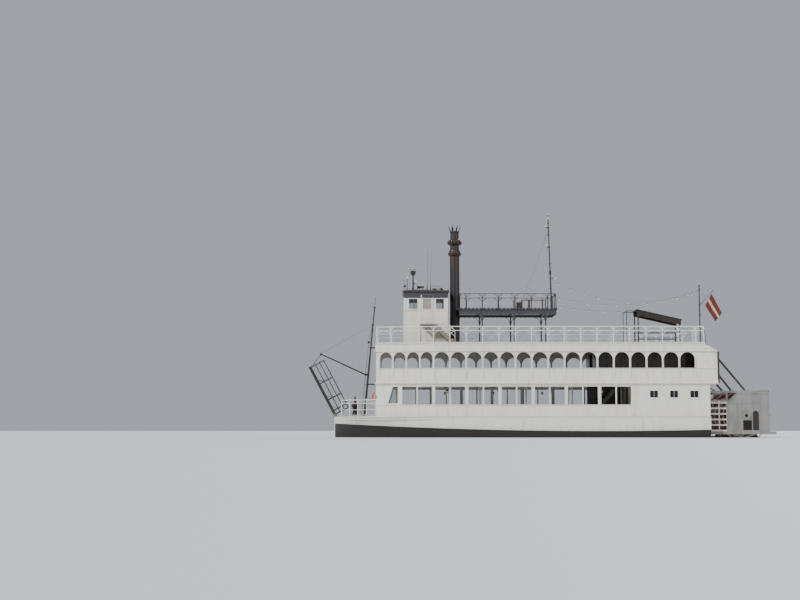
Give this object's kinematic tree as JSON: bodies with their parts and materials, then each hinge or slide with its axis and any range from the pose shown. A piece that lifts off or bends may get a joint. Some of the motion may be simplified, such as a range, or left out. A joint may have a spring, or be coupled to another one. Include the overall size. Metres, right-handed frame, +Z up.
{
  "type": "sternwheel paddle boat",
  "caption": "Three-deck sternwheel paddle boat with a decked hull, arcaded second deck, wheelhouse, tall smokestack, raised landing stage and a paddlewheel between frames at the stern.",
  "frame": {"origin": "on the centreline, amidships, at the waterline", "axes": "+X forward to the bow, +Y to port, +Z up"},
  "size_m": [32.2199, 8.06, 17.4309],
  "materials": {
    "hull_paint": "semi-gloss white above a dark boot top",
    "white_paint": "semi-gloss white paint",
    "rail_paint": "semi-gloss white paint on pipe",
    "deck_paint": "matte non-slip deck paint",
    "black_paint": "satin black-brown paint",
    "brown_wood": "varnished",
    "machine_steel": "dull",
    "frame_steel": "grey paint, weathered",
    "red_paint": "weathered red paint",
    "radar_plastic": "moulded white",
    "flag_cloth": "woven bunting",
    "string_rubber": "matte"
  },
  "bodies": {
    "boat": {"hull": "hull_paint", "main_wall_port": "white_paint", "main_wall_starboard": "white_paint", "main_front_wall": "white_paint", "main_aft_wall": "white_paint", "engine_room_bulkhead": "white_paint", "engine": "machine_steel", "stair_partition": "brown_wood", "lower_stairs": "deck_paint", "second_deck": "white_paint", "arcade_port": "white_paint", "arcade_starboard": "white_paint", "front_arcade": "white_paint", "stern_wall": "white_paint", "saloon_walls": "brown_wood", "upper_stairs": "deck_paint", "top_deck": "white_paint", "top_fascia": "white_paint", "stern_apron": "white_paint", "top_railing": "rail_paint", "companion_hood": "black_paint", "pilothouse_side_port": "white_paint", "pilothouse_side_starboard": "white_paint", "pilothouse_steps_port": "deck_paint", "pilothouse_steps_starboard": "deck_paint", "pilothouse_front": "white_paint", "pilothouse_aft": "white_paint", "pilothouse_floor": "deck_paint", "pilothouse_roof": "black_paint", "radar_mast": "black_paint", "smokestack": "black_paint", "platform": "white_paint", "platform_railing": "rail_paint", "platform_table": "brown_wood", "platform_locker": "black_paint", "main_mast": "black_paint", "mast_stays": "machine_steel", "foredeck_rail_port": "rail_paint", "foredeck_rail_starboard": "rail_paint", "derrick_mast": "black_paint", "aft_pole": "black_paint", "flag": "flag_cloth", "light_string_upper": "string_rubber", "light_string_middle": "string_rubber", "light_string_lower": "string_rubber", "wheel_frame_port": "frame_steel", "wheel_frame_starboard": "frame_steel"},
    "paddlewheel": {"paddlewheel": "red_paint"},
    "radar": {"radar_scanner": "radar_plastic"},
    "stage": {"landing_stage": "black_paint"},
    "boom": {"boom": "black_paint"},
    "capstan": {"capstan": "black_paint"},
    "rudder_port": {"rudder_port": "machine_steel"},
    "rudder_starboard": {"rudder_starboard": "machine_steel"},
    "door_port": {"pilothouse_door_port": "white_paint"},
    "door_starboard": {"pilothouse_door_starboard": "white_paint"},
    "engine_room_door": {"engine_room_door": "brown_wood"}
  },
  "joints": [
    {"name": "paddlewheel_spin", "type": "hinge", "parent": "boat", "child": "paddlewheel", "pos_m": [-15.35, 0, 1.5], "axis": [0, 1, 0], "continuous": true},
    {"name": "radar_spin", "type": "hinge", "parent": "boat", "child": "radar", "pos_m": [7.43, 0, 11.81], "axis": [0, 0, 1], "continuous": true},
    {"name": "stage_hinge", "type": "hinge", "parent": "boat", "child": "stage", "pos_m": [12.97, 0, 1.6], "axis": [0, 1, 0], "range_deg": [0, 76]},
    {"name": "boom_luff", "type": "hinge", "parent": "boat", "child": "boom", "pos_m": [10.8, 0, 4.42], "axis": [0, 1, 0], "range_deg": [-35, 20]},
    {"name": "capstan_turn", "type": "hinge", "parent": "boat", "child": "capstan", "pos_m": [11.55, 0, 1.52], "axis": [0, 0, 1], "continuous": true},
    {"name": "rudder_port_turn", "type": "hinge", "parent": "boat", "child": "rudder_port", "pos_m": [-12.98, 2, 0], "axis": [0, 0, 1], "range_deg": [-38, 38]},
    {"name": "rudder_starboard_turn", "type": "hinge", "parent": "boat", "child": "rudder_starboard", "pos_m": [-12.98, -2, 0], "axis": [0, 0, 1], "range_deg": [-38, 38]},
    {"name": "door_port_hinge", "type": "hinge", "parent": "boat", "child": "door_port", "pos_m": [6.862, 1.6, 7.86], "axis": [0, 0, 1], "range_deg": [-100, 0]},
    {"name": "door_starboard_hinge", "type": "hinge", "parent": "boat", "child": "door_starboard", "pos_m": [6.862, -1.6, 7.86], "axis": [0, 0, 1], "range_deg": [0, 100]},
    {"name": "engine_room_door_hinge", "type": "hinge", "parent": "boat", "child": "engine_room_door", "pos_m": [-7.44, 1.208, 1.49], "axis": [0, 0, 1], "range_deg": [-100, 0]}
  ],
  "couplings": [
    {"joint": "rudder_starboard_turn", "follows": "rudder_port_turn", "ratio": 1}
  ]
}
